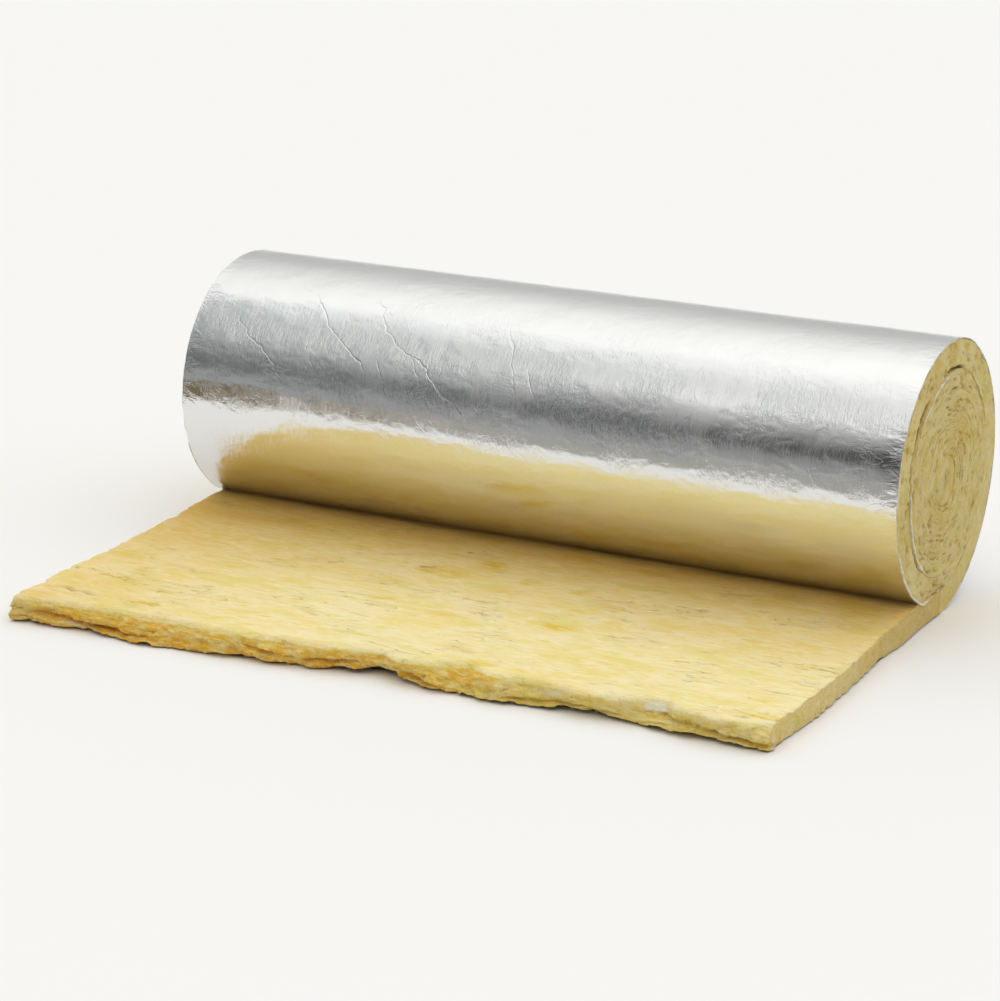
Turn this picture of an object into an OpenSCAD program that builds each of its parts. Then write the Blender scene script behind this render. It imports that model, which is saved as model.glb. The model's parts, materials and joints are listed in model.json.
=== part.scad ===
// Foil-faced glass wool insulation blanket, rolled up with its loose end laid out flat.
// X runs across the blanket, along the axis of the roll. The loose end lies towards -Y.
// The origin is at the bottom centre of the whole piece, on the floor. Millimetres.

/* [Blanket] */
// Width of the blanket, which is the length of the roll
blanket_width = 1200; // [600:10:1500]
// Thickness of the wool where it lies flat and unpressed
wool_thickness = 38; // [25:1:50]
// Thickness of the reinforced foil facing
foil_thickness = 0.2; // [0.1:0.05:0.5]

/* [Loose end] */
// Flat stretch on the left side, from under the axis of the roll to the cut
flat_length_left = 665; // [400:5:1200]
// Flat stretch on the right side, where the cut ran back a little
flat_length_right = 620; // [400:5:1200]

/* [Roll] */
// Height of the axis of the roll over the floor
axis_height = 214.5; // [150:0.5:300]
// How far the outermost turn draws in over its one revolution
outer_turn_drop = 23; // [10:1:35]
// Thickness of each pressed turn inside the outermost one
turn_pitch = 26.5; // [15:0.5:35]
// Radius of the plug of wool inside the last turn of foil
eye_radius = 17.5; // [8:0.5:30]
// How deep the turns inside the outermost one are cut into both ends
end_depth = 8; // [3:1:12]
// Points round each turn
points_per_turn = 60; // [36:4:96]

/* [Hidden] */

wool_color = [0.85, 0.75, 0.47];
foil_color = [0.78, 0.79, 0.80];

// The second turn starts on top of the flat stretch, which carries it.
second_turn_radius = axis_height - wool_thickness - foil_thickness;
inner_turns = floor((second_turn_radius - eye_radius) / turn_pitch * points_per_turn) / points_per_turn;
turns = 1 + inner_turns;

// Turns are counted from under the axis, going to the back, over the top and down the front.
function radius_at(turn) =
    turn < 1 ? axis_height - outer_turn_drop * turn
             : second_turn_radius - turn_pitch * (turn - 1);

// A point of the foil's outer side, or of a line that lies `inset` inside it, as [y, z].
// Where the outermost turn comes down on the flat stretch it is pressed flat against the wool.
function spiral_point(turn, inset) =
    let (
        r = radius_at(turn) - inset,
        y = r * sin(360 * turn),
        z = axis_height - r * cos(360 * turn),
        bed = wool_thickness + foil_thickness + inset
    )
    turn > 0.75 && turn <= 1 ? [y, max(z, bed)] : [y, z];

function spiral_line(first, last, inset) =
    [for (i = [round(first * points_per_turn) : round(last * points_per_turn)])
        spiral_point(i / points_per_turn, inset)];

function reversed(line) = [for (i = [len(line) - 1 : -1 : 0]) line[i]];

flat_length = max(flat_length_left, flat_length_right);
bed_height = wool_thickness + foil_thickness;

// The foil, as wound up to `last`: its outer side inwards, then its inner side back out.
function foil_section(last) = concat(
    [[-flat_length, 0]],
    spiral_line(0, last, 0),
    reversed(spiral_line(0, last, foil_thickness)),
    [[-flat_length, foil_thickness]]
);

// The wool, slit by the foil up to `last` and solid inside that.
function wool_section(last) = concat(
    [[-flat_length, foil_thickness]],
    spiral_line(0, last, foil_thickness),
    reversed(spiral_line(1, last, 0)),
    [[-flat_length, bed_height]]
);

roll_back = max([for (p = spiral_line(0, 1, 0)) p[0]]);
middle_y = (roll_back - flat_length) / 2;
margin = 10;

// A section in [y, z], drawn out along X from first_x.
module across(section, first_x, length) {
    translate([first_x, 0, 0])
        rotate([90, 0, 90])
            linear_extrude(height = length)
                polygon(section);
}

// Everything in front of the line along which the loose end was cut.
module cut_off() {
    half = blanket_width / 2;
    beyond = flat_length + margin;
    slope = (flat_length_left - flat_length_right) / blanket_width;
    translate([0, 0, -margin])
        linear_extrude(height = bed_height + 2 * margin)
            polygon([
                [-half - margin, -flat_length_left - slope * margin],
                [half + margin, -flat_length_right + slope * margin],
                [half + margin, -beyond],
                [-half - margin, -beyond]
            ]);
}

// One material of the blanket, whole and cut to length, with its inner turns only in both ends.
module wound(middle_section, end_section) {
    half = blanket_width / 2;
    inside = half - end_depth;
    translate([0, -middle_y, 0])
        difference() {
            union() {
                across(middle_section, -inside, 2 * inside);
                for (first_x = [-half, inside])
                    across(end_section, first_x, end_depth);
            }
            cut_off();
        }
}

module wool_blanket() {
    color(wool_color)
        wound(wool_section(1), wool_section(turns));
}

module foil_facing() {
    color(foil_color)
        wound(foil_section(1), foil_section(turns));
}

wool_blanket();
foil_facing();
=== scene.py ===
import bpy
import json
import math
import numpy as np
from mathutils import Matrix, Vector

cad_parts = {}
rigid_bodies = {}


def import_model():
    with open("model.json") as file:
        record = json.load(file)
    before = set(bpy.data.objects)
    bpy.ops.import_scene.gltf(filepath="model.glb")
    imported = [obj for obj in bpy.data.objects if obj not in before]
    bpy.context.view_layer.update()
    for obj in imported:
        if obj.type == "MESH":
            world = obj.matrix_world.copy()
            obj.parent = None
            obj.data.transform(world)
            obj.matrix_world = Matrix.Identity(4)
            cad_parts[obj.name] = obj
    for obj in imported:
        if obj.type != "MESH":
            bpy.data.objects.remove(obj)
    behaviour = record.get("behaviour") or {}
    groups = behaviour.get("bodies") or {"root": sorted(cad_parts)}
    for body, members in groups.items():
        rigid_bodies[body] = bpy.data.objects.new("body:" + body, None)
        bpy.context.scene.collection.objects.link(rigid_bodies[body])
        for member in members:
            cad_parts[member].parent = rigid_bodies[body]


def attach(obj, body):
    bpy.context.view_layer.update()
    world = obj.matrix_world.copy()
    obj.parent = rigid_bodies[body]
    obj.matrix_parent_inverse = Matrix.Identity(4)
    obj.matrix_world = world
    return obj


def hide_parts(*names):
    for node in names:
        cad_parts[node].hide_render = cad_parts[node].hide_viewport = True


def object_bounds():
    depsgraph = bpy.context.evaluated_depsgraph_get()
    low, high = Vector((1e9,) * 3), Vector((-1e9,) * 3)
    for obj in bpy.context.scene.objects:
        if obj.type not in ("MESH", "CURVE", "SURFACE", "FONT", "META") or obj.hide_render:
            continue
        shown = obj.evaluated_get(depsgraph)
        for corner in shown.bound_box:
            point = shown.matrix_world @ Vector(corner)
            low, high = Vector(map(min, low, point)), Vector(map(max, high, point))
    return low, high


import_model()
cadLow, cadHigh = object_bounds()
print("frame loaded")

# The path of the blanket, in metres. Turns are counted from under the roll's axis, to the back and up.
path = {
    "axisHeight": 0.2145,
    "outerDrop": 0.023,
    "foil": 0.0002,
    "wool": 0.038,
    "pitch": 0.0265,
    "turns": 6.98,
    # mean radius of the outermost turn, for measuring along it
    "meanRadius": 0.204,
}
axisY = cadHigh.y - path["axisHeight"] + path["outerDrop"] / 4
halfWidth = (cadHigh.x - cadLow.x) / 2
bedHeight = path["wool"] + path["foil"]
secondRadius = path["axisHeight"] - bedHeight


def smooth(low, high, values):
    t = np.clip((values - low) / (high - low), 0, 1)
    return t * t * (3 - 2 * t)


# How far the turns inside the outermost one are pressed in, out of a true spiral.
pressedIn = {
    "turn": [1.00, 1.25, 1.38, 1.45, 1.50, 1.60, 1.75, 1.83, 1.90, 1.97, 2.15, 2.30, 2.42, 2.53,
             2.70, 3.00, 3.30, 3.55, 3.90, 4.20, 4.60, 5.00, 5.50, 6.00],
    "depth": [0.000, 0.002, 0.004, 0.005, 0.009, 0.014, 0.012, 0.008, 0.004, 0.001, 0.001, 0.003,
              0.006, 0.013, 0.008, 0.002, 0.004, 0.009, 0.002, 0.003, 0.006, 0.001, 0.003, 0.000],
}


def rollPoint(turn, inset):
    # y and z of a point that lies inset inside the outer side of the foil
    outermost = path["axisHeight"] - path["outerDrop"] * turn
    inner = secondRadius - path["pitch"] * (turn - 1)
    inner = inner - np.interp(turn, pressedIn["turn"], pressedIn["depth"])
    radius = np.maximum(np.where(turn < 1, outermost, inner) - inset, 0.0005)
    y = axisY + radius * np.sin(2 * np.pi * turn)
    z = path["axisHeight"] - radius * np.cos(2 * np.pi * turn)
    pressed = (turn > 0.75) & (turn <= 1)
    return y, np.where(pressed, np.maximum(z, bedHeight + inset), z)


# Smooth noise between random numbers on a grid, from -1 to 1.
def noise(points, seed):
    cell = np.floor(points).astype(np.int64)
    within = points - cell
    within = within * within * (3 - 2 * within)
    total = np.zeros(len(points))
    for corner in range(8):
        step = np.array([corner & 1, corner >> 1 & 1, corner >> 2 & 1])
        at = cell + step
        mixed = at[:, 0] * 374761393 + at[:, 1] * 668265263 + at[:, 2] * 1274126177 + seed * 69069
        mixed = (mixed ^ (mixed >> 13)) * 1103515245 & 0x7FFFFFFF
        mixed = (mixed ^ (mixed >> 16)) & 0xFFFFF
        share = np.prod(np.where(step == 1, within, 1 - within), axis=1)
        total += share * (mixed / 0x7FFFF - 1)
    return total


# Noise with finer noise on top of it. size is the length of a patch along each axis, in metres.
def rough(points, size, seed, octaves=3):
    total = np.zeros(len(points))
    for octave in range(octaves):
        finer = 2 ** octave
        total += noise(points / np.array(size) * finer + 17.3 * octave, seed + octave) / finer
    return total / 1.6


def coordinates(piece):
    flat = np.empty(len(piece.data.vertices) * 3)
    piece.data.vertices.foreach_get("co", flat)
    return flat.reshape(-1, 3)


def setCoordinates(piece, points):
    piece.data.vertices.foreach_set("co", points.ravel())
    piece.data.update()


def setAttribute(piece, name, values):
    attribute = piece.data.attributes.new(name, "FLOAT", "POINT")
    attribute.data.foreach_set("value", np.asarray(values, float))


# A UV map that runs along the fibres and across them, in metres.
# Faces with all their corners on a cut side take that side's own flow.
def setFlow(piece, flow, onSide=None, sideFlow=None):
    corners = np.empty(len(piece.data.loops), np.int32)
    piece.data.loops.foreach_get("vertex_index", corners)
    values = flow[corners]
    if onSide is not None:
        starts = np.empty(len(piece.data.polygons), np.int32)
        totals = np.empty(len(piece.data.polygons), np.int32)
        piece.data.polygons.foreach_get("loop_start", starts)
        piece.data.polygons.foreach_get("loop_total", totals)
        whole = np.minimum.reduceat(onSide[corners].astype(int), starts)
        values = np.where(np.repeat(whole, totals)[:, None] == 1, sideFlow[corners], values)
    layer = piece.data.uv_layers.new(name="flow")
    layer.data.foreach_set("uv", values.ravel())


def deselect():
    if bpy.context.object and bpy.context.object.mode == "EDIT":
        bpy.ops.object.mode_set(mode="OBJECT")
    for thing in bpy.context.view_layer.objects:
        thing.select_set(False)


def shadeSmooth(piece, angle):
    deselect()
    piece.select_set(True)
    bpy.context.view_layer.objects.active = piece
    bpy.ops.object.shade_smooth_by_angle(angle=math.radians(angle))


# Splits every edge that runs along one axis into that many parts.
def cutAlong(piece, axis, parts):
    while parts > 1:
        now = next(n for n in range(min(parts, 50), 0, -1) if parts % n == 0)
        bpy.ops.object.mode_set(mode="OBJECT")
        points = coordinates(piece)
        ends = np.empty(len(piece.data.edges) * 2, np.int32)
        piece.data.edges.foreach_get("vertices", ends)
        runs = np.abs(points[ends[0::2]] - points[ends[1::2]])
        chosen = runs[:, axis] > 1e-6
        piece.data.vertices.foreach_set("select", np.zeros(len(points), bool))
        piece.data.polygons.foreach_set("select", np.zeros(len(piece.data.polygons), bool))
        piece.data.edges.foreach_set("select", chosen)
        bpy.ops.object.mode_set(mode="EDIT")
        bpy.ops.mesh.select_mode(type="EDGE")
        bpy.ops.mesh.subdivide(number_cuts=now - 1)
        parts //= now


# A block from -1 to 1 whose faces are cut into a grid.
def gridBlock(name, parts):
    deselect()
    bpy.ops.mesh.primitive_cube_add(size=2)
    piece = bpy.context.object
    piece.name = piece.data.name = name
    for layer in list(piece.data.uv_layers):
        piece.data.uv_layers.remove(layer)
    for axis in range(3):
        cutAlong(piece, axis, parts[axis])
    bpy.ops.object.mode_set(mode="OBJECT")
    return piece


# A block from -1 to 1 with a grid on its top and sides, and one plain face below.
def gridSlab(name, columns, rows, layers):
    deselect()
    bpy.ops.mesh.primitive_grid_add(x_subdivisions=columns, y_subdivisions=rows, size=2)
    piece = bpy.context.object
    piece.name = piece.data.name = name
    for layer in list(piece.data.uv_layers):
        piece.data.uv_layers.remove(layer)
    points = coordinates(piece)
    points[:, 2] = 1
    setCoordinates(piece, points)
    bpy.ops.object.mode_set(mode="EDIT")
    bpy.ops.mesh.select_mode(type="EDGE")
    bpy.ops.mesh.select_all(action="SELECT")
    bpy.ops.mesh.region_to_loop()
    for layer in range(layers):
        bpy.ops.mesh.extrude_edges_move(TRANSFORM_OT_translate={"value": (0, 0, -2 / layers)})
    bpy.ops.mesh.edge_face_add()
    bpy.ops.mesh.select_all(action="SELECT")
    bpy.ops.mesh.normals_make_consistent(inside=False)
    bpy.ops.object.mode_set(mode="OBJECT")
    return piece


# The torn front of the loose end: how far it lies before the roll's axis, at the top and on the floor.
tornEdge = {
    "topX": [-0.600, -0.510, -0.425, -0.300, -0.220, -0.143, -0.073, 0.008, 0.035, 0.088, 0.136,
             0.174, 0.247, 0.312, 0.374, 0.437, 0.455, 0.516, 0.566, 0.600],
    "top": [0.670, 0.658, 0.654, 0.648, 0.652, 0.642, 0.636, 0.618, 0.638, 0.626, 0.602,
            0.626, 0.620, 0.628, 0.622, 0.604, 0.624, 0.632, 0.628, 0.616],
    "floorX": [-0.600, -0.470, -0.360, -0.250, -0.190, -0.100, -0.060, -0.010, 0.030, 0.090,
               0.195, 0.244, 0.282, 0.340, 0.435, 0.492, 0.546, 0.600],
    "floor": [0.676, 0.668, 0.674, 0.660, 0.644, 0.644, 0.630, 0.616, 0.612, 0.640,
              0.638, 0.634, 0.620, 0.618, 0.622, 0.618, 0.628, 0.632],
    # how far its middle, the orange clumps and its torn lip stand out, and how far its foot is undercut
    "bulge": 0.005,
    "clumps": 0.007,
    "lip": 0.005,
    "undercut": 0.005,
    # the lumps it tore into: patch along the edge, patch up it, how far they stand out
    "lumps": [(0.070, 0.020, 0.0060), (0.026, 0.011, 0.0050), (0.010, 0.006, 0.0034)],
    # the split between its upper and lower layers: how high it runs, how far it wanders, width, depth
    "groove": (0.42, 0.20, 0.10, 0.0130),
    "ragged": 0.0060,
    # share of the loose end's length over which all this fades out
    "reach": 0.1116,
    # orange clumps of binder: x, height, half lengths, strength
    "orange": [
        (0.125, 0.022, 0.060, 0.013, 1.1), (-0.030, 0.024, 0.070, 0.010, 1.1),
        (0.168, 0.030, 0.024, 0.010, 1.0), (-0.390, 0.024, 0.045, 0.010, 0.9),
        (-0.150, 0.020, 0.070, 0.010, 0.9), (-0.300, 0.024, 0.090, 0.009, 0.8),
        (0.500, 0.006, 0.070, 0.006, 0.7), (-0.560, 0.034, 0.050, 0.008, 0.6),
        (0.420, 0.008, 0.030, 0.010, 0.4), (-0.230, 0.010, 0.050, 0.008, 0.5),
    ],
    # pale flakes, laid out the same way
    "pale": [
        (0.425, 0.029, 0.020, 0.007, 1.2), (-0.480, 0.012, 0.035, 0.004, 0.6),
        (0.270, 0.024, 0.025, 0.005, 0.6),
    ],
}

looseEnd = {
    "columns": 500,
    "rows": 125,
    "layers": 22,
    # share of the rows that is spread evenly; the rest crowd towards the torn front
    "even": 0.42,
    # how much the top swells beside the roll, waves over its length, is ridged and shows fibres
    "swell": 0.008,
    "waves": 0.0024,
    "ridges": 0.0013,
    "fibres": 0.0006,
    # dents and splits in the top: x, y before the axis, length, width, depth
    "splits": [
        (-0.532, 0.604, 0.095, 0.0056, 0.0080), (-0.410, 0.608, 0.040, 0.0044, 0.0062),
        (-0.440, 0.446, 0.110, 0.0040, 0.0030), (-0.360, 0.360, 0.080, 0.0040, 0.0025),
        (-0.190, 0.350, 0.050, 0.0035, 0.0025), (0.080, 0.493, 0.060, 0.0035, 0.0025),
        (0.105, 0.562, 0.028, 0.0040, 0.0035), (0.415, 0.468, 0.050, 0.0035, 0.0025),
        (0.575, 0.458, 0.060, 0.0040, 0.0040), (-0.300, 0.525, 0.060, 0.0035, 0.0020),
        (0.300, 0.350, 0.070, 0.0035, 0.0020), (-0.100, 0.545, 0.090, 0.0035, 0.0020),
    ],
    # places where the front lifts off the floor: x, half length, height
    "lifts": [(-0.010, 0.040, 0.0070), (0.310, 0.055, 0.0045), (0.500, 0.060, 0.0030)],
    # how far back from the torn front the top rounds off, from left to right
    "roundedX": [-0.6, -0.3, 0.0, 0.6],
    "rounded": [0.012, 0.013, 0.010, 0.007],
    # the top's edge along the cut sides: how far it drops, over what width
    "sideEdge": (0.0015, 0.006),
    # and the nicks in it: how far it drops, how deep they are, over what width
    "sideNicks": (0.0012, 0.0050, 0.010),
    # amber binder spots: x, y before the axis, half lengths along x and y, strength
    "amber": [
        (-0.035, 0.215, 0.030, 0.028, 0.9), (-0.085, 0.270, 0.055, 0.030, 0.9),
        (0.045, 0.255, 0.028, 0.020, 0.8), (0.030, 0.310, 0.050, 0.020, 0.6),
        (0.170, 0.413, 0.045, 0.013, 1.0), (-0.110, 0.418, 0.030, 0.009, 0.9),
        (0.000, 0.440, 0.035, 0.010, 0.8), (0.140, 0.262, 0.020, 0.012, 0.9),
        (0.070, 0.140, 0.060, 0.016, 0.6), (0.190, 0.150, 0.060, 0.015, 0.5),
        (0.570, 0.590, 0.040, 0.012, 0.8), (-0.400, 0.600, 0.030, 0.008, 1.0),
        (-0.500, 0.545, 0.090, 0.045, 0.4), (-0.540, 0.440, 0.060, 0.035, 0.5),
        (0.420, 0.400, 0.050, 0.025, 0.4), (0.110, 0.560, 0.060, 0.014, 0.5),
        (-0.280, 0.310, 0.060, 0.030, 0.4), (0.560, 0.220, 0.060, 0.030, 0.4),
        (0.150, 0.590, 0.030, 0.014, 0.9), (-0.440, 0.190, 0.060, 0.030, 0.4),
        (-0.360, 0.250, 0.090, 0.018, 0.4), (-0.180, 0.330, 0.080, 0.014, 0.4),
        (0.230, 0.300, 0.070, 0.014, 0.4), (-0.570, 0.640, 0.040, 0.020, 0.6),
    ],
}


# How strong the nearest of some spots is at each place; their outlines wander.
def spots(places, across, up):
    total = np.zeros(len(across))
    shifted = np.stack([across, up, across * 0], 1)
    across = across + 0.012 * rough(shifted, (0.030, 0.016, 1), 121, 2)
    up = up + 0.006 * rough(shifted, (0.030, 0.016, 1), 131, 2)
    for x, y, long, wide, strength in places:
        away = ((across - x) / long) ** 2 + ((up - y) / wide) ** 2
        total = np.maximum(total, strength * np.exp(-away))
    return total


# Streaks on the cut sides are this much shorter than on the top.
sideStretch = 2.2


# The cut side of the wool pushed in and out: along the blanket, up through it.
def sideRelief(along, depth, side):
    points = np.stack([along, depth, np.full(len(along), side)], 1)
    lumps = 0.0016 * rough(points, (0.07, 0.02, 1), 41, 2)
    strata = 0.0009 * rough(points, (0.03, 0.005, 1), 51, 3)
    return lumps + strata


def makeLooseEnd(make, torn):
    piece = gridSlab("looseEnd", make["columns"], make["rows"], make["layers"])
    unit = coordinates(piece)
    across, back, up = unit[:, 0], (unit[:, 1] + 1) / 2, (unit[:, 2] + 1) / 2
    back = make["even"] * back + (1 - make["even"]) * back ** 2
    x = across * halfWidth
    onFront = unit[:, 1] < -0.9999

    # the torn front: lumps of wool of three sizes, undercut at the floor
    front = np.interp(x, torn["floorX"], torn["floor"]) * (1 - up)
    front = front + np.interp(x, torn["topX"], torn["top"]) * up
    onFace = np.stack([x, up * path["wool"], x * 0], 1)
    lumps = np.zeros(len(x))
    for number, (long, tall, out) in enumerate(torn["lumps"]):
        lumps += out * (np.abs(noise(onFace / np.array([long, tall, 1]) + 5.5, 3 + number)) * 2 - 0.8)
    lumps = lumps * (0.3 + 0.7 * smooth(1.0, 0.7, up))
    bulge = torn["bulge"] * np.sin(np.pi * up) ** 0.8
    bulge = bulge + torn["clumps"] * spots(torn["orange"], x, up * path["wool"])
    undercut = torn["undercut"] * smooth(0.16, 0, up)
    line = np.stack([x, x * 0, x * 0], 1)
    grooveAt, wander, grooveWide, grooveDeep = torn["groove"]
    grooveAt = grooveAt + wander * noise(line / 0.110, 61) + 0.25 * wander * noise(line / 0.022, 62)
    groove = np.exp(-((up - grooveAt) / grooveWide) ** 2)
    groove = groove * np.clip(0.45 + 1.1 * noise(line / 0.075, 63), 0, 1)
    lip = torn["lip"] * noise(line / 0.034, 64) * smooth(grooveAt, grooveAt - 0.1, up)
    relief = lumps + bulge + lip - undercut - grooveDeep * groove - 0.003
    front = front + relief * smooth(torn["reach"], 0.0, back)

    before = front * (1 - back)
    y = axisY - before
    drift = 0.020 * rough(np.stack([x, y, x * 0], 1), (0.20, 0.12, 1), 5, 2)
    top = np.stack([x, y + drift, x * 0], 1)

    # the top: waves, ridges along the fibres, splits, and a swelling beside the roll
    waves = make["waves"] * rough(top, (0.16, 0.10, 1), 7, 2)
    ridges = make["ridges"] * rough(top, (0.090, 0.014, 1), 11, 3)
    fibres = make["fibres"] * rough(top, (0.024, 0.0055, 1), 19, 2)
    swell = make["swell"] * smooth(0.26, 0.09, before) - 0.004 * smooth(0.05, 0, before)
    split = np.zeros(len(x))
    lifted = np.zeros(len(x))
    for placeX, placeY, length, width, depth in make["splits"]:
        bend = 0.002 * np.sin(x * 90 + placeX * 40) + 0.06 * (x - placeX)
        bend = bend + 0.0035 * noise(line / 0.016, 65)
        away = (before - placeY - bend) / width
        ends = smooth(length / 2 + 0.012, length / 5, np.abs(x - placeX))
        dent = depth * np.exp(-np.where(away > 0, away * 1.8, away) ** 2) * ends
        split = np.maximum(split, dent)
        lifted = np.maximum(lifted, 0.4 * depth * np.exp(-((away - 1.9) / 1.1) ** 2) * ends)
    # the top is lower along the torn front and the cut sides
    edge = front - before
    softness = np.interp(x, make["roundedX"], make["rounded"])
    rounding = 0.42 * softness * np.clip(1 - edge / softness, 0, 1) ** 2
    crumbs = np.abs(noise(np.stack([x / 0.020, edge / 0.006, x * 0], 1), 31))
    rounding = rounding + 0.0016 * crumbs * smooth(0.015, 0, edge)
    toSide = halfWidth - np.abs(x)
    low, over = make["sideEdge"]
    rounding = rounding + low * np.clip(1 - toSide / over, 0, 1) ** 2
    low, nick, over = make["sideNicks"]
    nicks = np.clip(noise(np.stack([x * 0 + np.sign(x), y / 0.011, x * 0], 1), 67), 0, 1) ** 1.5
    rounding = rounding + (nick * nicks + low) * smooth(over, 0, toSide) * smooth(0.08, 0.14, before)
    crest = bedHeight + swell + waves + ridges + fibres - split + lifted - rounding
    # under the roll the top stays pressed flat
    crest = np.where(before < 0.085, np.minimum(crest, bedHeight - 0.0006 + 0.1 * before), crest)
    z = path["foil"] + 0.0005 + (crest - path["foil"] - 0.0005) * up
    for placeX, half, height in make["lifts"]:
        z = z + height * np.exp(-((x - placeX) / half) ** 2) * (1 - up) ** 2 * smooth(0.030, 0, edge)
    ragged = np.clip(0.3 * noise(line / 0.007, 37) + 0.8 * noise(line / 0.024, 38), 0, 1)
    z = z + torn["ragged"] * ragged * smooth(0.30, 0, up) * smooth(0.012, 0, edge)

    outside = np.sign(across) * (np.abs(across) > 0.9999)
    onSide = outside != 0
    cuts = 0.0022 * noise(np.stack([before / 0.010, up * 0.8, outside], 1), 69)
    cuts = cuts * smooth(0.1, 0.2, before)
    relief = sideRelief(-before, up * path["wool"], outside) * smooth(1.15, 0.8, up) + cuts
    x = x + outside * (relief - 0.001 * smooth(0, 0.1, before))
    wavy = 0.004 * noise(np.stack([across * 2, y / 0.09, x * 0], 1), 23)
    x = x + wavy * smooth(0.05, 0, toSide) * smooth(0.06, 0.2, before)
    setCoordinates(piece, np.stack([x, y, z], 1))

    # what the colours follow: binder, painted shade in the splits, in the groove, beside the roll and along
    # the foot of the front, the greyer sides, and a warm tone that is painted shade near the roll
    gold = 0.55 * smooth(-0.62, -0.50, x) * smooth(0.20, 0.05, x) + 0.50
    # the front's gold is the binder's own colour; its rise towards the foot and in the groove is painted
    # warm shade
    gold = gold * smooth(1.04, 0.93, up) * (0.72 + 0.28 * smooth(0.5, 0.0, up)) + 0.45 * gold * groove
    face = np.maximum(spots(torn["orange"], x, z), gold)
    onTop = np.maximum(0.64 * spots(make["amber"], x, before), 0.5 * face * smooth(0.012, 0, edge))
    setAttribute(piece, "amber", np.where(onFront, face, onTop))
    # painted shade, kept in the split attribute: darker in the splits and dents, beside the roll where it
    # presses on the loose end, and on the front in the groove and along its foot
    paintedShade = np.clip(split / 0.008, 0, 1) * 0.7 + 0.9 * smooth(0.135, 0.085, before) * ~onSide
    paintedShade = paintedShade + onFront * (0.32 * groove + 0.22 * smooth(0.10, 0.0, up))
    setAttribute(piece, "split", np.clip(paintedShade, 0, 1))
    khaki = 0.12 * onFront * smooth(-0.1, 0.2, x)
    setAttribute(piece, "khaki", np.where(onSide, 0.55 + 0.45 * smooth(0.5, 0.0, before), khaki))
    setAttribute(piece, "bare", spots(torn["pale"], x, z) * onFront)
    # painted warm shade: the wool browns towards the roll, on the top and on the cut sides, and along the
    # foot of the front; it is also warmer towards the left
    shadeNearRoll = 0.35 * smooth(0.48, 0.28, before) + 0.65 * smooth(0.28, 0.12, before)
    warm = np.maximum(shadeNearRoll + 0.36 * smooth(-0.1, -0.6, x), 0.25 * onFront * smooth(0.45, 0.0, up))
    setAttribute(piece, "warm", np.where(onSide, 0.28 + 0.30 * smooth(0.5, 0.1, before), warm))
    rim = np.maximum(onFront, smooth(0.014, 0.004, edge))
    setAttribute(piece, "torn", np.maximum(rim, 0.6 * onSide))
    setFlow(piece, np.stack([x, before - z], 1), onSide, np.stack([-before * sideStretch, z], 1))
    shadeSmooth(piece, 70)
    return piece


def turnAt(along):
    # the turn at each distance wound in from under the axis
    turns = np.linspace(0, path["turns"], 4000)
    y, z = rollPoint(turns, 0.01)
    lengths = np.concatenate([[0], np.cumsum(np.hypot(np.diff(y), np.diff(z)))])
    return np.interp(along * lengths[-1], lengths, turns), lengths[-1]


# The wool in the roll: one strip wound up, pressed between the turns of foil.
rolledWool = {
    "parts": (3, 1700, 24),
    "columnsAt": [-0.6, -0.590, 0.590, 0.6],
    "crown": 0.0010,
    "clumps": 0.0032,
    "streaks": 0.0009,
    # open gaps in the right-hand end: first turn, last turn, how far from the foil outwards, width, depth
    "gaps": [
        (0.455, 0.490, 0.0028, 0.0026, 0.024), (0.600, 0.652, 0.0085, 0.0036, 0.024),
        (0.700, 0.790, 0.0035, 0.0014, 0.005), (0.80, 0.90, 0.0010, 0.0014, 0.005),
        (0.650, 0.700, 0.0065, 0.0016, 0.008), (1.46, 1.49, 0.0020, 0.0016, 0.004),
    ],
}


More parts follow.
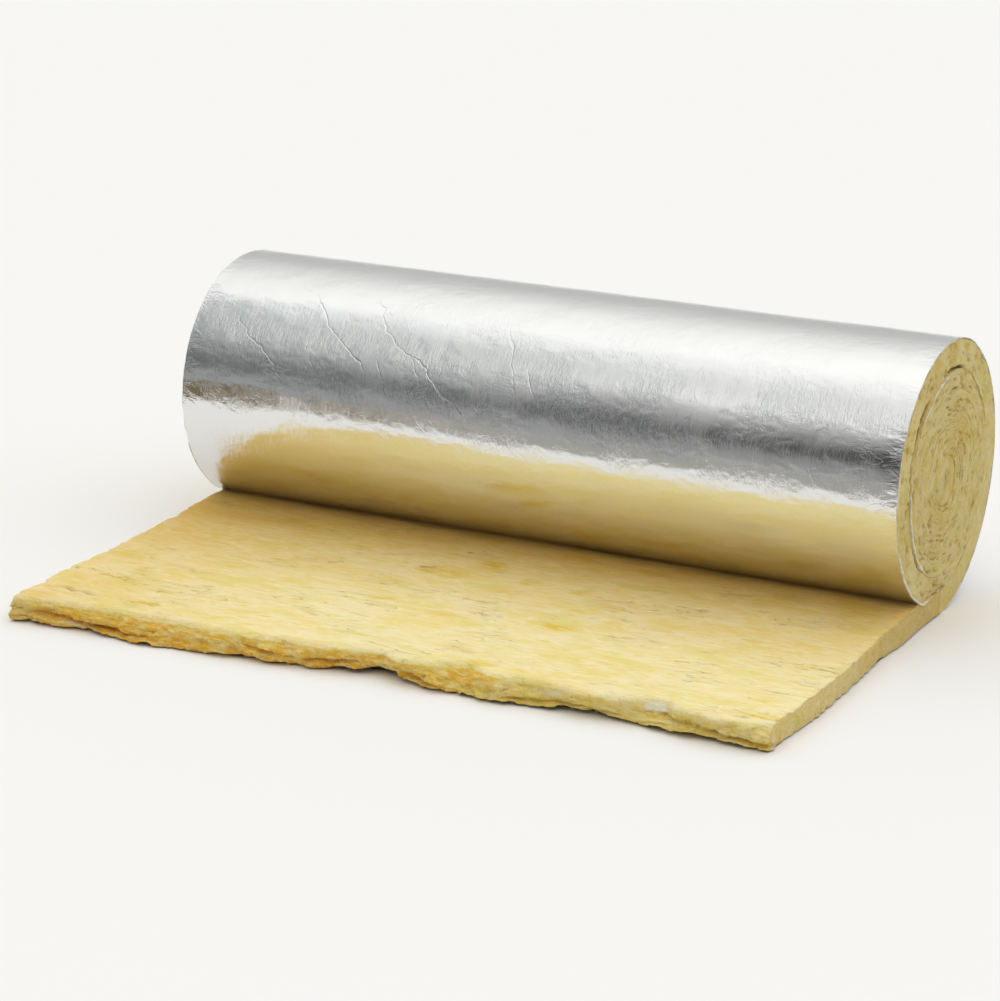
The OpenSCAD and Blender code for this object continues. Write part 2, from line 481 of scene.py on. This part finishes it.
def makeRolledWool(make):
    parts = make["parts"]
    piece = gridBlock("rolledWool", parts)
    unit = coordinates(piece)
    x = np.interp(unit[:, 0], np.linspace(-1, 1, parts[0] + 1), make["columnsAt"])
    share = (unit[:, 1] + 1) / 2
    turn, length = turnAt(share)
    along = share * length
    depth = (unit[:, 2] + 1) / 2
    outerY, outerZ = rollPoint(turn, 0.0018 * smooth(0.02, 0.1, turn) * smooth(1.0, 0.97, turn))
    innerY, innerZ = rollPoint(turn + 1, 0.0)
    pulled = smooth(path["turns"] - 1.02, path["turns"] - 0.98, turn)
    innerY = innerY * (1 - pulled) + axisY * pulled
    innerZ = innerZ * (1 - pulled) + path["axisHeight"] * pulled
    y = outerY * (1 - depth) + innerY * depth
    z = outerZ * (1 - depth) + innerZ * depth
    thickness = np.hypot(innerY - outerY, innerZ - outerZ)
    outside = np.sign(unit[:, 0]) * (np.abs(unit[:, 0]) > 0.9999)

    # the cut ends: clumps and streaks that follow the winding, and seams that mostly close over
    wound = smooth(0.05, 0.5, turn) * smooth(path["turns"], path["turns"] - 1.6, turn)
    face = np.stack([y, z, outside], 1)
    streak = np.stack([along, depth * path["wool"] + turn * 0, outside], 1)
    clumps = make["clumps"] * (0.6 - np.abs(rough(face, (0.028, 0.028, 1), 71, 3)) * 1.6)
    streaks = make["streaks"] * rough(streak, (0.022, 0.0042, 1), 81, 3)
    crown = make["crown"] * (np.clip(1 - (2 * depth - 1) ** 4, 0, 1) - 1)
    seamNoise = smooth(0.1, 0.8, noise(np.stack([turn * 5, outside, turn * 0], 1), 91))
    relief = (clumps + streaks + crown * (0.3 + 0.7 * seamNoise)) * wound
    relief = relief + sideRelief(along, depth * path["wool"], outside)
    hole = smooth(0.22, 0.60, rough(streak, (0.011, 0.0060, 1), 97, 2)) * wound
    relief = relief - 0.0030 * hole
    gap = np.zeros(len(x))
    wander = 0.0012 * noise(np.stack([turn * 40, turn * 0, turn * 0], 1), 93)
    for first, last, away, width, deep in make["gaps"]:
        centre = (1 - depth) * thickness - away - wander
        span = smooth(first - 0.020, first + 0.020, turn) * smooth(last + 0.020, last - 0.020, turn)
        gap = np.maximum(gap, deep * np.exp(-(centre / width) ** 2) * span * (outside > 0))
    relief = np.minimum(relief - gap, 0.006)
    x = x + outside * relief
    setCoordinates(piece, np.stack([x, y, z], 1))
    setAttribute(piece, "amber", 0.35 * smooth(0.35, 0.7, rough(face, (0.05, 0.05, 1), 99, 2)))
    # painted shade: darker along the seams between the turns, in the sunken holes, and most of all in the
    # open gaps
    seam = smooth(0.05, 0, depth) * smooth(0.9, 1.1, turn) + smooth(0.95, 1, depth)
    seam = seam * (0.05 + 0.35 * seamNoise) * wound
    setAttribute(piece, "split", np.clip(seam + 0.55 * hole, 0, 0.8) + 1.3 * np.clip(gap / 0.004, 0, 1))
    setAttribute(piece, "khaki", np.ones(len(x)))
    setAttribute(piece, "bare", np.zeros(len(x)))
    setAttribute(piece, "warm", 0.15 + 0.25 * smooth(0.1, 0.6, rough(face, (0.06, 0.06, 1), 111, 2)))
    setAttribute(piece, "torn", np.full(len(x), 0.6))
    setFlow(piece, np.stack([along * sideStretch, depth * path["wool"]], 1))
    shadeSmooth(piece, 70)
    return piece


# The foil under the loose end, round the back of the roll, over it and down to where it is tucked in.
foilSheet = {
    "columns": 340,
    "rows": 290,
    "lumps": 0.0007,
    "quilting": 0.00025,
    "curl": 0.0010,
    "setBack": 0.026,
    # the stretch of foil that shows, as it was cut
    "flat": (1.2, 1.92),
}


# How far the foil bulges out at each place.
def foilLump(make, x, turn):
    place = np.stack([x, turn * 1.3, x * 0], 1)
    lumps = make["lumps"] * rough(place, (0.16, 0.10, 1), 81, 3)
    lumps = lumps + make["quilting"] * rough(place, (0.03, 0.05, 1), 91, 2)
    rim = make["curl"] * rough(np.stack([turn * 1.3, x * 0, np.sign(x)], 1), (0.035, 1, 1), 95, 2)
    lumps = lumps + rim * smooth(0.025, 0, halfWidth - np.abs(x))
    return lumps * smooth(0, 0.08, turn) * smooth(0.985, 0.90, turn)


def makeFoil(make):
    deselect()
    bpy.ops.mesh.primitive_grid_add(x_subdivisions=make["columns"], y_subdivisions=make["rows"], size=2)
    piece = bpy.context.object
    piece.name = piece.data.name = "foilSheet"
    for layer in list(piece.data.uv_layers):
        piece.data.uv_layers.remove(layer)
    unit = coordinates(piece)
    x = unit[:, 0] * halfWidth
    along = (unit[:, 1] + 1) / 2
    # few rows under the loose end and behind, most of them over the top and down the front
    turn = np.interp(along, [0, 0.10, 0.30, 0.95, 1], [0, 0.0, 0.42, 0.93, 0.99])
    flat = along < 0.10
    front = np.interp(x, tornEdge["floorX"], tornEdge["floor"]) - make["setBack"]
    before = front * (1 - along / 0.10)
    y, z = rollPoint(turn, -0.0004 - foilLump(make, x, turn))
    y = np.where(flat, axisY - before, y)
    z = np.maximum(np.where(flat, 0, z), 0.0002)
    x = x * (1 - 0.010 * smooth(0.05, 0, turn) + 0.0008 * smooth(0.1, 0.3, turn))
    setCoordinates(piece, np.stack([x, y, z], 1))
    length = np.where(flat, -before, turn * 2 * np.pi * path["meanRadius"])
    setFlow(piece, np.stack([length, x], 1))
    shadeSmooth(piece, 60)
    return piece


# The foil's cut edge, which shows as a pale line round each end where it stands clear of the wool. It is
# given a rough pale colour instead of metal: partly the foil's own pale grey, partly a painted highlight.
foilEdge = {
    "parts": (2, 1500, 1),
    "thickness": 0.0008,
    "reach": 0.010,
    # first turn, last turn, how far it stands out, extra thickness
    "clear": [
        (0.80, 0.955, 0.0030, 0.0014), (1.50, 1.62, 0.0024, 0.0010), (1.735, 1.910, 0.0026, 0.0014),
        (0.45, 0.80, 0.0012, 0.0002),
    ],
}


def makeFoilEdge(make, sheetMake, side, name):
    piece = gridBlock(name, make["parts"])
    unit = coordinates(piece)
    share = (unit[:, 1] + 1) / 2
    turn, length = turnAt(share)
    along = share * length
    points = np.stack([along, along * 0, np.full(len(along), side)], 1)
    wobble = 0.0009 * rough(points, (0.030, 1, 1), 101, 2) * smooth(0.97, 1.05, turn)
    out = 0.0010 * rough(points, (0.020, 1, 1), 103, 3)
    stand = np.zeros(len(turn)) - 0.0030 * smooth(0.9, 1.1, turn)
    thick = np.full(len(turn), make["thickness"])
    for first, last, much, wide in make["clear"]:
        span = smooth(first - 0.03, first + 0.02, turn) * smooth(last + 0.03, last - 0.02, turn)
        stand = np.maximum(stand, -0.0030 * (1 - span) + much * span)
        thick = np.maximum(thick, make["thickness"] + wide * span)
    row = (unit[:, 0] * side + 1) / 2
    x = side * (halfWidth - make["reach"] + (make["reach"] + stand + out) * row)
    inset = np.where(unit[:, 2] > 0, thick, 0.0) + wobble - foilLump(sheetMake, x, turn)
    y, z = rollPoint(turn, inset)
    z = np.maximum(z, 0.0003)
    setCoordinates(piece, np.stack([x, y, z], 1))
    setFlow(piece, np.stack([along, unit[:, 2] * 0.001], 1))
    shadeSmooth(piece, 40)
    return piece


# Stray fibres that stand out of the wool, each a thin bent strand.
looseFibres = {
    "seed": 29,
    "segments": 5,
    "bow": 0.45,
    # where they grow: kind, how many, shortest and longest, thickness, how far they stand up
    "grow": [("front", 1100, 0.003, 0.012, 0.00016, 0.9), ("side", 520, 0.002, 0.009, 0.00014, 0.8),
             ("top", 420, 0.006, 0.022, 0.00014, 0.16), ("end", 760, 0.002, 0.008, 0.00014, 0.7)],
}


def normalsOf(piece):
    flat = np.empty(len(piece.data.vertices) * 3)
    piece.data.vertices.foreach_get("normal", flat)
    return flat.reshape(-1, 3)


def makeFibres(make, loosePiece, rolledPiece):
    count = sum(row[1] for row in make["grow"])
    deselect()
    bpy.ops.mesh.primitive_cylinder_add(vertices=3, radius=1, depth=2, end_fill_type="NGON")
    piece = bpy.context.object
    piece.name = piece.data.name = "looseFibres"
    for layer in list(piece.data.uv_layers):
        piece.data.uv_layers.remove(layer)
    cutAlong(piece, 2, make["segments"])
    bpy.ops.object.mode_set(mode="OBJECT")
    rows = piece.modifiers.new("rows", "ARRAY")
    rows.count = count
    rows.use_relative_offset = False
    rows.use_constant_offset = True
    rows.constant_offset_displace = (0, 10, 0)
    bpy.ops.object.modifier_apply(modifier="rows")

    shape = coordinates(piece)
    strand = np.rint(shape[:, 1] / 10).astype(int)
    sideways, thickways, share = shape[:, 0], shape[:, 1] - 10 * strand, (shape[:, 2] + 1) / 2
    draw = np.random.RandomState(make["seed"])
    roots, ways, lengths, radii = [], [], [], []
    for kind, many, shortest, longest, radius, standing in make["grow"]:
        source = rolledPiece if kind == "end" else loosePiece
        points, normals = coordinates(source), normalsOf(source)
        before = axisY - points[:, 1]
        chosen = {
            "front": (normals[:, 1] < -0.55) & (before > 0.55),
            "side": (np.abs(points[:, 0]) > halfWidth - 0.008) & (before > 0.14),
            "top": (normals[:, 2] > 0.8) & (before > 0.16),
            "end": (np.abs(normals[:, 0]) > 0.5) & (np.abs(points[:, 0]) > halfWidth - 0.006),
        }[kind]
        picked = draw.choice(np.flatnonzero(chosen), many)
        free = draw.normal(0, 1, (many, 3)) * (1, 1, 0.5 if kind == "top" else 1)
        free[:, 0] *= 3 if kind == "top" else 1
        free = free / np.linalg.norm(free, axis=1)[:, None]
        way = normals[picked] * standing + free * (1 - 0.5 * standing)
        roots.append(points[picked] - normals[picked] * 0.0004)
        ways.append(way / np.linalg.norm(way, axis=1)[:, None])
        lengths.append(draw.uniform(shortest, longest, many) * draw.uniform(0.4, 1, many))
        radii.append(np.full(many, radius) * draw.uniform(0.6, 1.5, many))
    root, way = np.concatenate(roots), np.concatenate(ways)
    length, radius = np.concatenate(lengths), np.concatenate(radii)
    bow = draw.normal(0, 1, (count, 3))
    bow = bow - way * np.sum(bow * way, axis=1)[:, None]
    bow = bow / np.linalg.norm(bow, axis=1)[:, None]
    wide = np.cross(way, bow)
    bent = make["bow"] * (share ** 2)[:, None] * bow[strand]
    line = root[strand] + (way[strand] * share[:, None] + bent) * length[strand][:, None]
    taper = (radius[strand] * (1 - 0.75 * share))[:, None]
    points = line + (wide[strand] * sideways[:, None] + bow[strand] * thickways[:, None]) * taper
    points[:, 2] = np.maximum(points[:, 2], 0.0003)
    setCoordinates(piece, points)
    setFlow(piece, np.stack([share * 0.01 + strand * 0.013, strand * 0.007], 1))
    shadeSmooth(piece, 80)
    return piece


# The output of a node; sums of these make Math nodes.
class Socket:
    def __init__(self, shader, out):
        self.shader = shader
        self.out = out

    def maths(self, operation, *others):
        inputs = dict(enumerate((self, *others)))
        return self.shader.node("ShaderNodeMath", {"operation": operation}, inputs)

    def __add__(self, other):
        return self.maths("ADD", other)

    def __radd__(self, other):
        return self.maths("ADD", other)

    def __sub__(self, other):
        return self.maths("SUBTRACT", other)

    def __rsub__(self, other):
        return self.shader.node("ShaderNodeMath", {"operation": "SUBTRACT"}, {0: other, 1: self})

    def __mul__(self, other):
        return self.maths("MULTIPLY", other)

    def __rmul__(self, other):
        return self.maths("MULTIPLY", other)


# The nodes of a new material, or of the room.
class Shader:
    def __init__(self, owner):
        self.owner = owner
        owner.use_nodes = True
        self.tree = owner.node_tree

    # Links an input or sets its value. A colour is given without its alpha.
    def feed(self, socket, value):
        if isinstance(value, Socket):
            self.tree.links.new(value.out, socket)
        elif socket.type == "RGBA":
            socket.default_value = (*value, 1)
        else:
            socket.default_value = value

    # One node: its settings first, then its inputs; gives one of its outputs.
    def node(self, kind, settings=None, inputs=None, output=0):
        made = self.tree.nodes.new(kind)
        for name, value in (settings or {}).items():
            if name == "stops":
                stops = made.color_ramp.elements
                while len(stops) < len(value):
                    stops.new(0.5)
                for stop, (place, colour) in zip(stops, value):
                    stop.position = place
                    stop.color = (*colour, 1)
            else:
                setattr(made, name, value)
        for key, value in (inputs or {}).items():
            self.feed(made.inputs[key], value)
        return Socket(self, made.outputs[output])

    # From 0 at low to 1 at high.
    def range(self, value, low, high, easing="SMOOTHSTEP"):
        inputs = {"Value": value, "From Min": low, "From Max": high}
        return self.node("ShaderNodeMapRange", {"interpolation_type": easing}, inputs)

    def mix(self, share, first, second, blend="MIX"):
        settings = {"data_type": "RGBA", "blend_type": blend}
        return self.node("ShaderNodeMix", settings, {0: share, 6: first, 7: second}, 2)

    def noise(self, vector, scale, detail=3, roughness=0.55, distortion=0):
        inputs = {"Vector": vector, "Scale": scale, "Detail": detail, "Roughness": roughness,
                  "Distortion": distortion}
        return self.node("ShaderNodeTexNoise", {"noise_dimensions": "3D"}, inputs)

    def stretched(self, vector, scale):
        return self.node("ShaderNodeMapping", {}, {"Vector": vector, "Scale": scale})

    def parts(self, vector):
        first = self.node("ShaderNodeSeparateXYZ", {}, {0: vector})
        return [Socket(self, out) for out in first.out.node.outputs]

    def flow(self):
        return self.node("ShaderNodeUVMap", {"uv_map": "flow"})

    def attribute(self, name):
        return self.node("ShaderNodeAttribute", {"attribute_name": name}, {}, 2)

    def bump(self, height, distance, strength=1.0):
        inputs = {"Height": height, "Distance": distance, "Strength": strength}
        return self.node("ShaderNodeBump", {}, inputs)

    # Sets the inputs of the material's own shader.
    def surface(self, **inputs):
        for name, value in inputs.items():
            self.feed(self.tree.nodes["Principled BSDF"].inputs[name.replace("_", " ")], value)
        return self.owner


woolColours = {
    "cream": (0.90, 0.71, 0.25),
    "pale": (0.96, 0.86, 0.53),
    "blush": (0.95, 0.79, 0.48),
    "green": (0.82, 0.72, 0.20),
    "yellow": (0.83, 0.61, 0.10),
    "amber": (0.84, 0.41, 0.025),
    # dark brown for the darker streaks, and for the painted shade in splits, gaps, seams, cracks and hollows
    "deep": (0.30, 0.185, 0.045),
    "bare": (0.93, 0.86, 0.62),
    "ends": (0.79, 0.785, 0.69),
    # multiplied in for the painted warm shade near the roll and at the foot, and for the warm tone of the
    # roll's ends
    "warmShadeAndTone": (0.78, 0.60, 0.32),
}


def woolMaterial(name, colours):
    s = Shader(bpy.data.materials.new(name))
    flow = s.flow()
    torn, amber = s.attribute("torn"), s.attribute("amber")
    streaks = s.noise(s.stretched(flow, (20, 84, 1)), 1.0, 5, 0.68, 1.8)
    broad = s.noise(s.stretched(flow, (6, 13, 1)), 1.0, 5, 0.60, 1.0)
    hue = s.noise(s.stretched(flow, (10, 22, 3)), 1.0, 4, 0.60, 0.8)
    fine = s.noise(s.stretched(flow, (80, 380, 1)), 1.0, 4, 0.65, 0.4)
    grain = s.noise(s.stretched(flow, (230, 260, 1)), 1.0, 4, 0.65)
    crumbs = s.noise(s.stretched(flow, (95, 120, 1)), 1.0, 4, 0.62, 0.6)
    cracks = s.noise(s.stretched(flow, (12, 80, 1)), 1.0, 2, 0.5, 0.4)
    crack = s.range((cracks - 0.5).maths("ABSOLUTE"), 0.010, 0.0)
    crack = crack * s.range(broad, 0.52, 0.62) * (1 - torn)
    colour = s.mix(s.range(0.55 * streaks + 0.45 * broad, 0.36, 0.62), colours["cream"], colours["pale"])
    colour = s.mix(s.range(hue, 0.50, 0.70) * 0.45, colour, colours["blush"])
    colour = s.mix(s.range(hue, 0.50, 0.32) * 0.55, colour, colours["green"])
    colour = s.mix(s.range(broad, 0.52, 0.72) * 0.5, colour, colours["yellow"])
    broken = s.range(s.noise(s.stretched(flow, (44, 150, 1)), 1.0, 4, 0.65, 0.5), 0.40, 0.58)
    colour = s.mix(s.range(amber, 0.05, 0.60) * (0.40 + 0.60 * broken), colour, colours["yellow"])
    colour = s.mix(s.range(amber, 0.45, 0.95) * (0.15 + 0.85 * broken) * 0.80, colour, colours["amber"])
    colour = s.mix(s.range(streaks, 0.38, 0.24) * 0.30, colour, colours["deep"])
    # painted shade: darker in the low parts of the grain and crumbs along the torn edges, and in the cracks,
    # where the bump sinks
    colour = s.mix(s.range(grain, 0.44, 0.30) * torn * 0.22, colour, colours["deep"])
    colour = s.mix(s.range(crumbs, 0.42, 0.26) * torn * 0.35, colour, colours["deep"])
    colour = s.mix(crack * 0.4, colour, colours["deep"])
    colour = s.mix(s.attribute("khaki"), colour, s.mix(1.0, colour, colours["ends"], "MULTIPLY"))
    # painted warm shade on the loose end near the roll and at the foot of the front; random warm tone on the
    # roll's ends
    colour = s.mix(s.attribute("warm"), colour, s.mix(1.0, colour, colours["warmShadeAndTone"], "MULTIPLY"))
    colour = s.mix(s.range(s.attribute("bare"), 0.2, 0.8), colour, colours["bare"])
    # painted shade from the split attribute: splits, gaps, seams, the groove, beside the roll and at the
    # foot of the front
    colour = s.mix(s.attribute("split") * 0.75, colour, colours["deep"])
    height = 0.22 * streaks + 0.22 * fine + 0.5 * broad - 0.30 * crack
    height = height + torn * (0.25 * grain + 0.8 * crumbs)
    normal = s.bump(height, 0.006, 0.9)
    return s.surface(Base_Color=colour, Roughness=0.95, Sheen_Weight=0.06, Sheen_Roughness=0.6,
                     Specular_IOR_Level=0.06, Normal=normal)


def strandMaterial(name, colours):
    s = Shader(bpy.data.materials.new(name))
    kind = s.noise(s.stretched(s.flow(), (9, 9, 1)), 1.0, 2, 0.5)
    colour = s.mix(s.range(kind, 0.35, 0.65), colours["pale"], colours["yellow"])
    return s.surface(Base_Color=colour, Roughness=0.6, Specular_IOR_Level=0.3)


foilFinish = {
    "colour": (0.82, 0.823, 0.815),
    # creases: turn and x where one starts, turn and x where it ends, height in millimetres
    "creases": [
        (0.550, -0.456, 0.682, -0.274, 0.24), (0.575, -0.316, 0.713, -0.112, 0.24),
        (0.622, -0.526, 0.708, -0.408, 0.20), (0.655, -0.180, 0.735, -0.150, 0.12),
        (0.575, -0.066, 0.645, -0.036, 0.16), (0.610, -0.050, 0.692, -0.018, 0.16),
        (0.642, -0.006, 0.690, 0.014, 0.16), (0.632, 0.252, 0.600, 0.272, 0.22),
        (0.668, 0.060, 0.700, 0.040, 0.14), (0.557, -0.262, 0.596, -0.216, 0.16),
        (0.542, -0.176, 0.578, -0.152, 0.14), (0.725, -0.022, 0.760, -0.012, 0.16),
        (0.660, -0.384, 0.705, -0.364, 0.12), (0.715, -0.180, 0.752, -0.150, 0.12),
        (0.655, -0.262, 0.712, -0.232, 0.14), (0.640, -0.214, 0.700, -0.180, 0.14),
        (0.700, -0.120, 0.742, -0.084, 0.14), (0.180, -0.320, 0.330, -0.120, 0.20),
    ],
}


# A ridge along one straight line of the foil.
def crease(s, along, across, start, end, height):
    length = math.hypot(end[0] - start[0], end[1] - start[1])
    dirAlong, dirAcross = (end[0] - start[0]) / length, (end[1] - start[1]) / length
    fromAlong, fromAcross = along - start[0], across - start[1]
    down = fromAlong * dirAlong + fromAcross * dirAcross
    away = (fromAlong * dirAcross - fromAcross * dirAlong).maths("ABSOLUTE")
    inside = s.range(down, 0.0, 0.02) * s.range(down, length, length - 0.03)
    return s.range(away, 0.0022, 0.0) * inside * height


def foilMaterial(name, finish):
    s = Shader(bpy.data.materials.new(name))
    flow = s.flow()
    along, across, _ = s.parts(flow)
    bend = (s.noise(flow, 13.0, 2, 0.5) - 0.5) * 0.030 + (s.noise(flow, 60.0, 2, 0.5) - 0.5) * 0.010
    bentAlong = along + bend
    bentAcross = across - bend
    ridges = 0.0
    for firstTurn, firstX, lastTurn, lastX, height in finish["creases"]:
        start = (firstTurn * 2 * math.pi * path["meanRadius"], firstX)
        end = (lastTurn * 2 * math.pi * path["meanRadius"], lastX)
        ridges = crease(s, bentAlong, bentAcross, start, end, height) + ridges
    hairs = s.noise(s.stretched(flow, (20, 210, 1)), 1.0, 4, 0.65, 1.0)
    crumple = s.noise(s.stretched(flow, (90, 170, 1)), 1.0, 4, 0.65, 1.2)
    soft = s.noise(s.stretched(flow, (22, 12, 1)), 1.0, 3, 0.5)
    patches = s.range(s.noise(s.stretched(flow, (14, 9, 1)), 1.0, 3, 0.6), 0.42, 0.60)
    # short kinks: thin ridges where a noise crosses its middle, in patches of their own
    kinks = s.noise(s.stretched(flow, (16, 48, 1)), 1.0, 2, 0.5, 1.6)
    kink = s.range((kinks - 0.5).maths("ABSOLUTE"), 0.022, 0.0)
    kink = kink * s.range(s.noise(s.stretched(flow, (19, 17, 1)), 1.0, 2, 0.5), 0.50, 0.62)
    bars = s.noise(s.stretched(flow, (60, 18, 1)), 1.0, 2, 0.5, 1.2)
    bar = s.range((bars - 0.5).maths("ABSOLUTE"), 0.020, 0.0)
    bar = bar * s.range(s.noise(s.stretched(flow, (24, 10, 1)), 1.0, 2, 0.5), 0.54, 0.64)
    rim = s.range(across.maths("ABSOLUTE"), 0.560, 0.598)
    wrinkle = s.noise(s.stretched(flow, (70, 30, 1)), 1.0, 3, 0.6, 0.8)
    height = ridges + (0.34 * hairs + 0.46 * crumple) * (0.22 + 0.78 * patches) + 0.5 * soft
    height = height + 0.085 * kink + 0.060 * bar + rim * 1.4 * wrinkle
    normal = s.bump(height, 0.001, 1.0)
    return s.surface(Base_Color=finish["colour"], Metallic=1.0, Roughness=0.07 + 0.10 * hairs,
                     Normal=normal)


edgeColours = {
    # the foil's pale grey with a painted highlight along its edge; worn is darker in patches along it
    "paleAndHighlit": (0.83, 0.80, 0.72),
    "worn": (0.62, 0.56, 0.42),
}


def edgeMaterial(name, colours):
    s = Shader(bpy.data.materials.new(name))
    worn = s.noise(s.stretched(s.flow(), (60, 1, 1)), 1.0, 4, 0.6)
    colour = s.mix(s.range(worn, 0.4, 0.6), colours["paleAndHighlit"], colours["worn"])
    return s.surface(Base_Color=colour, Roughness=0.55)


def plainMaterial(name, colour, glow=None):
    s = Shader(bpy.data.materials.new(name))
    inputs = {"Base_Color": colour, "Roughness": 0.9, "Specular_IOR_Level": 0.0}
    if glow:
        inputs.update({"Emission_Color": glow, "Emission_Strength": 1.0})
    return s.surface(**inputs)


def finishPiece(piece, material, slot, *nodes):
    piece.data.materials.clear()
    piece.data.materials.append(material)
    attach(piece, "root")
    if nodes:
        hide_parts(*nodes)


wool = woolMaterial("glassWool", woolColours)
foil = foilMaterial("foil", foilFinish)
edge = edgeMaterial("foilEdge", edgeColours)

loose = makeLooseEnd(looseEnd, tornEdge)
finishPiece(loose, wool, "glass_wool", "wool_blanket")
print("loose end made")

rolled = makeRolledWool(rolledWool)
finishPiece(rolled, wool, "glass_wool", "wool_blanket")
print("rolled wool made")

sheet = makeFoil(foilSheet)
finishPiece(sheet, foil, "reinforced_foil", "foil_facing")
edges = []
for side, name in ((1, "foilEdgeRight"), (-1, "foilEdgeLeft")):
    edges.append(makeFoilEdge(foilEdge, foilSheet, side, name))
    finishPiece(edges[-1], edge, "reinforced_foil")
print("foil made")

strands = makeFibres(looseFibres, loose, rolled)
finishPiece(strands, strandMaterial("looseStrands", woolColours), "glass_wool")
print("loose fibres made")

studio = {
    "floorSize": 60,
    "floorColour": (0.88, 0.872, 0.86),
    # brightness of the room at each height, from the floor (0) to overhead (1), behind the roll
    "behind": [(0.00, 0.53), (0.08, 0.556), (0.24, 0.584), (0.38, 0.606), (0.51, 0.71), (0.63, 0.84),
               (0.73, 1.00), (0.82, 1.10), (0.90, 1.20), (1.0, 1.24)],
    # and before it, to the left, in the middle and to the right
    "before": [
        [(0.00, 0.38), (0.18, 0.34), (0.27, 0.165), (0.33, 0.165), (0.44, 0.235), (0.58, 0.41), (0.68, 0.44),
         (0.76, 0.50), (0.82, 0.60), (0.86, 1.02), (0.91, 1.20), (1.0, 1.22)],
        [(0.00, 0.40), (0.18, 0.36), (0.33, 0.33), (0.46, 0.41), (0.58, 0.56), (0.68, 0.80), (0.80, 0.79),
         (0.86, 0.86), (0.90, 1.16), (1.0, 1.24)],
        [(0.00, 0.36), (0.19, 0.24), (0.27, 0.05), (0.38, 0.06), (0.50, 0.29), (0.64, 0.52), (0.73, 1.10),
         (0.84, 0.94), (0.90, 0.92), (0.94, 1.10), (1.0, 1.16)],
    ],
    "across": [-0.524, -0.440, -0.347],
    "tints": [(0.955, 1.0, 1.0), (0.99, 1.0, 0.985), (1.0, 1.0, 0.99)],
    "behindTint": (1.0, 1.0, 0.98),
    "fill": 0.84,
    # low glowing boards before the loose end, seen only in the foil, a painted reflection: first x, last x,
    # y, height, colour
    "glowingBoards": [
        (-9.0, -0.98, -1.11, 0.285, (0.195, 0.145, 0.085)),
        (-0.98, -0.74, -1.24, 0.27, (0.30, 0.25, 0.19)),
        (-0.74, 9.0, -1.30, 0.235, (0.41, 0.40, 0.365)),
    ],
}


# The room's brightness at each height; a ramp stops at 1, so it holds half and the strength is 2.
def brightness(s, height, stops, tint):
    stops = [(place, [bright * part / 2 for part in tint]) for place, bright in stops]
    return s.node("ShaderNodeValToRGB", {"stops": stops}, {"Fac": height})


# A flat rectangle between two corners, lying or standing.
def makeCard(name, low, high, material):
    deselect()
    bpy.ops.mesh.primitive_plane_add(size=2, location=(0, 0, 0))
    card = bpy.context.object
    card.name = card.data.name = name
    share = (coordinates(card)[:, :2] + 1) / 2
    spread = np.array(high) - np.array(low)
    rising = share[:, 1] if spread[1] == 0 else share[:, 1] * 0
    x = low[0] + spread[0] * share[:, 0]
    y = low[1] + spread[1] * share[:, 1]
    z = low[2] + spread[2] * rising
    setCoordinates(card, np.stack([x, y, z], 1))
    card.data.materials.append(material)
    return card


def makeStudio(make):
    far = make["floorSize"] / 2
    makeCard("floor", (-far, -far, 0), (far, far, 0), plainMaterial("floor", make["floorColour"]))
    for number, (first, last, y, top, colour) in enumerate(make["glowingBoards"]):
        low = (first, y + axisY, 0)
        high = (last, y + axisY, top)
        # glowing boards, hidden from the camera, diffuse light and shadows: a painted reflection in the foil
        card = makeCard(f"glowingBoard{number}", low, high, plainMaterial(f"glowingBoard{number}", (0, 0, 0), colour))
        card.visible_camera = False
        card.visible_diffuse = False
        card.visible_shadow = False

    s = Shader(bpy.data.worlds.new("studio"))
    direction = s.node("ShaderNodeTexCoord")
    sideways, back, up = s.parts(direction)
    before = [brightness(s, up, stops, tint) for stops, tint in zip(make["before"], make["tints"])]
    room = before[0]
    for number in (1, 2):
        share = s.range(sideways, make["across"][number - 1], make["across"][number], "LINEAR")
        room = s.mix(share, room, before[number])
    behind = brightness(s, up, make["behind"], make["behindTint"])
    room = s.mix(s.range(back, -0.05, 0.05, "LINEAR"), room, behind)
    background = s.tree.nodes["Background"].inputs
    s.feed(background["Strength"], 2.0)
    s.feed(background["Color"], room)
    bpy.context.scene.world = s.owner

    bpy.ops.object.light_add(type="SUN", location=(0, 0, 3))
    fill = bpy.context.object
    fill.name = "fill"
    fill.data.energy = make["fill"]
    fill.data.angle = math.radians(150)
    fill.visible_glossy = False
    bpy.context.scene.view_settings.view_transform = "Standard"


makeStudio(studio)
print("studio made")

camera = {
    "from": (2.1113, -4.2017, 1.5705),
    "yaw": -0.4916,
    "pitchDown": 0.3055,
    "lens": 113.77,
}


def makeCamera(make):
    data = bpy.data.cameras.new("camera")
    data.lens = make["lens"]
    data.sensor_width = 36
    data.clip_end = 200
    holder = bpy.data.objects.new("camera", data)
    holder.location = Vector(make["from"]) + Vector((0, axisY, 0))
    holder.rotation_euler = (math.pi / 2 - make["pitchDown"], 0, -make["yaw"])
    bpy.context.scene.collection.objects.link(holder)
    bpy.context.scene.camera = holder


makeCamera(camera)
